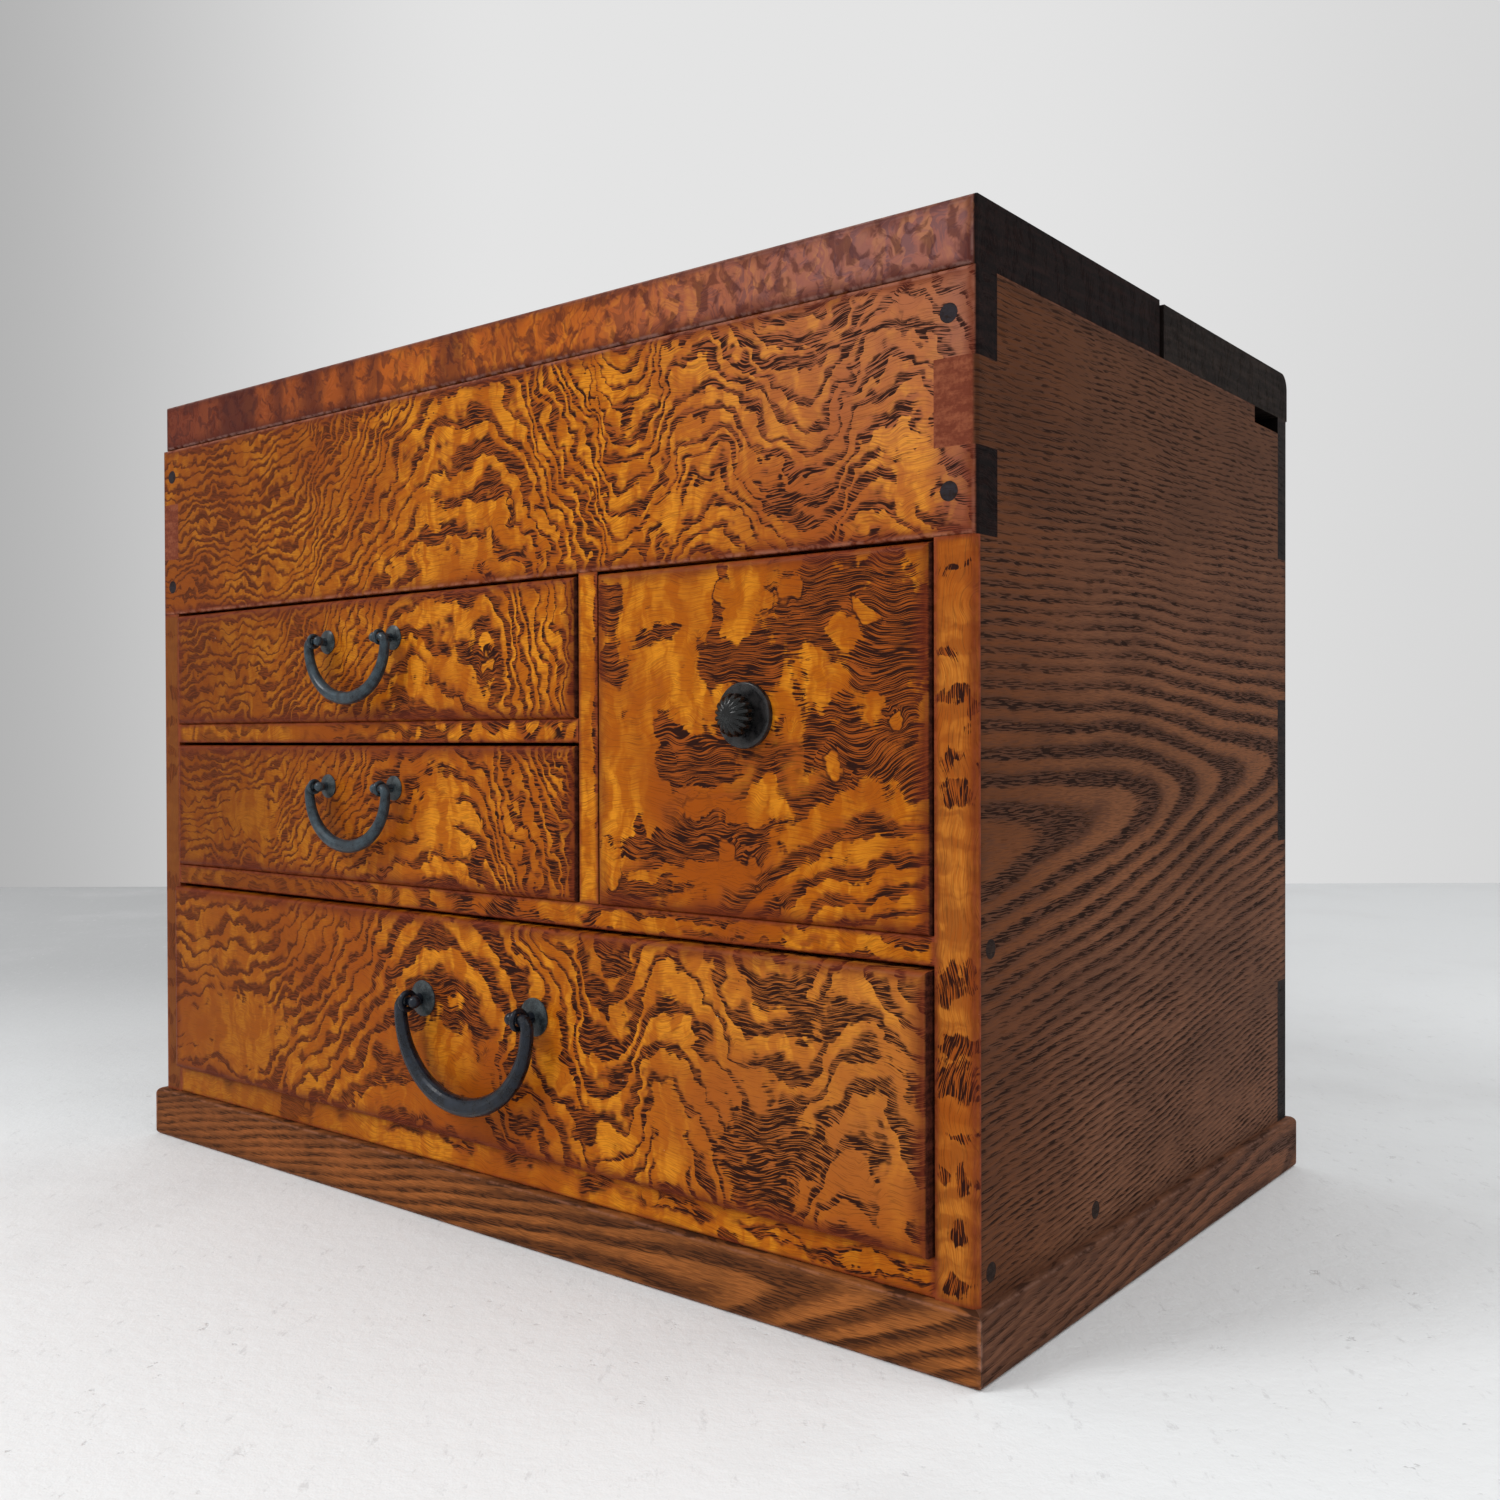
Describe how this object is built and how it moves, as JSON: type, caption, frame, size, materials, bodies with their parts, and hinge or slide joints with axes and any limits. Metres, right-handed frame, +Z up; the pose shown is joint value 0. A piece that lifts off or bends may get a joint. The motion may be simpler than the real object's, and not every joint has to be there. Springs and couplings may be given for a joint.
{
  "type": "sewing box",
  "caption": "Small wooden sewing box: a hinged half lid over a top compartment, shallow, tall and wide drawers with iron pulls, and a ruler slot in one side.",
  "frame": {"origin": "on the floor under the middle of the whole width and depth, the plinth and the pulls included", "axes": "+X to the right seen from the front, +Y to the back, +Z up; the drawers open toward -Y"},
  "size_m": [0.3056, 0.1998, 0.2387],
  "materials": {
    "plinth_wood": "satin lacquer over coarse straight grain",
    "side_wood": "satin lacquer over open straight grain",
    "back_wood": "satin lacquer",
    "top_wood": "satin lacquer",
    "panel_wood": "satin lacquer over burl figure",
    "lid_wood": "satin lacquer over curly grain",
    "stile_wood": "satin lacquer over plain grain",
    "rail_wood": "satin lacquer over straight grain",
    "front_wood": "satin lacquer over burl figure",
    "inner_wood": "bare planed wood",
    "drawer_wood": "bare planed wood",
    "peg_wood": "dark end grain",
    "hinge_iron": "dark and dull",
    "plate_iron": "dark blue-grey, dull",
    "pull_iron": "dark blue-grey, rubbed smooth",
    "knob_iron": "dark, bright on the flutes"
  },
  "bodies": {
    "case": {"plinth_front": "plinth_wood", "plinth_back": "plinth_wood", "plinth_left": "plinth_wood", "plinth_right": "plinth_wood", "side_left": "side_wood", "side_right": "side_wood", "front_panel": "panel_wood", "back_panel": "back_wood", "rear_top_board": "top_wood", "stile_left": "stile_wood", "stile_right": "stile_wood", "compartment_floor": "inner_wood", "bottom_board": "inner_wood", "bottom_rail": "rail_wood", "middle_rail": "rail_wood", "middle_shelf": "inner_wood", "small_rail": "rail_wood", "small_shelf": "inner_wood", "divider": "rail_wood", "ruler_ledge": "inner_wood", "ruler_fence": "inner_wood", "front_pegs": "peg_wood", "side_pegs": "peg_wood", "hinge_leaves_rear": "hinge_iron", "hinge_pins": "hinge_iron"},
    "lid": {"lid_board": "lid_wood", "hinge_leaves_lid": "hinge_iron"},
    "upper_drawer": {"upper_drawer_front": "front_wood", "upper_drawer_left": "drawer_wood", "upper_drawer_right": "drawer_wood", "upper_drawer_back": "drawer_wood", "upper_drawer_bottom": "drawer_wood", "upper_plates": "plate_iron", "upper_posts": "pull_iron"},
    "middle_drawer": {"middle_drawer_front": "front_wood", "middle_drawer_left": "drawer_wood", "middle_drawer_right": "drawer_wood", "middle_drawer_back": "drawer_wood", "middle_drawer_bottom": "drawer_wood", "middle_plates": "plate_iron", "middle_posts": "pull_iron"},
    "tall_drawer": {"tall_drawer_front": "front_wood", "tall_drawer_left": "drawer_wood", "tall_drawer_right": "drawer_wood", "tall_drawer_back": "drawer_wood", "tall_drawer_bottom": "drawer_wood", "knob_plate": "plate_iron", "knob": "knob_iron", "knob_rove": "knob_iron"},
    "wide_drawer": {"wide_drawer_front": "front_wood", "wide_drawer_left": "drawer_wood", "wide_drawer_right": "drawer_wood", "wide_drawer_back": "drawer_wood", "wide_drawer_bottom": "drawer_wood", "wide_plates": "plate_iron", "wide_posts": "pull_iron"},
    "upper_bail": {"upper_bail": "pull_iron"},
    "middle_bail": {"middle_bail": "pull_iron"},
    "wide_bail": {"wide_bail": "pull_iron"}
  },
  "joints": [
    {"name": "lid_hinge", "type": "hinge", "parent": "case", "child": "lid", "pos_m": [0, 0.0049, 0.2367], "axis": [-1, 0, 0], "range_deg": [0, 180]},
    {"name": "upper_slide", "type": "slide", "parent": "case", "child": "upper_drawer", "axis": [0, -1, 0], "range_m": [0, 0.15]},
    {"name": "middle_slide", "type": "slide", "parent": "case", "child": "middle_drawer", "axis": [0, -1, 0], "range_m": [0, 0.15]},
    {"name": "tall_slide", "type": "slide", "parent": "case", "child": "tall_drawer", "axis": [0, -1, 0], "range_m": [0, 0.15]},
    {"name": "wide_slide", "type": "slide", "parent": "case", "child": "wide_drawer", "axis": [0, -1, 0], "range_m": [0, 0.15]},
    {"name": "upper_bail_swing", "type": "hinge", "parent": "upper_drawer", "child": "upper_bail", "pos_m": [-0.0449, -0.09475, 0.15655], "axis": [-1, 0, 0], "range_deg": [-9, 189]},
    {"name": "middle_bail_swing", "type": "hinge", "parent": "middle_drawer", "child": "middle_bail", "pos_m": [-0.0449, -0.09475, 0.11525], "axis": [-1, 0, 0], "range_deg": [-9, 189]},
    {"name": "wide_bail_swing", "type": "hinge", "parent": "wide_drawer", "child": "wide_bail", "pos_m": [0.0056, -0.0969, 0.0593], "axis": [-1, 0, 0], "range_deg": [-5, 185]}
  ]
}
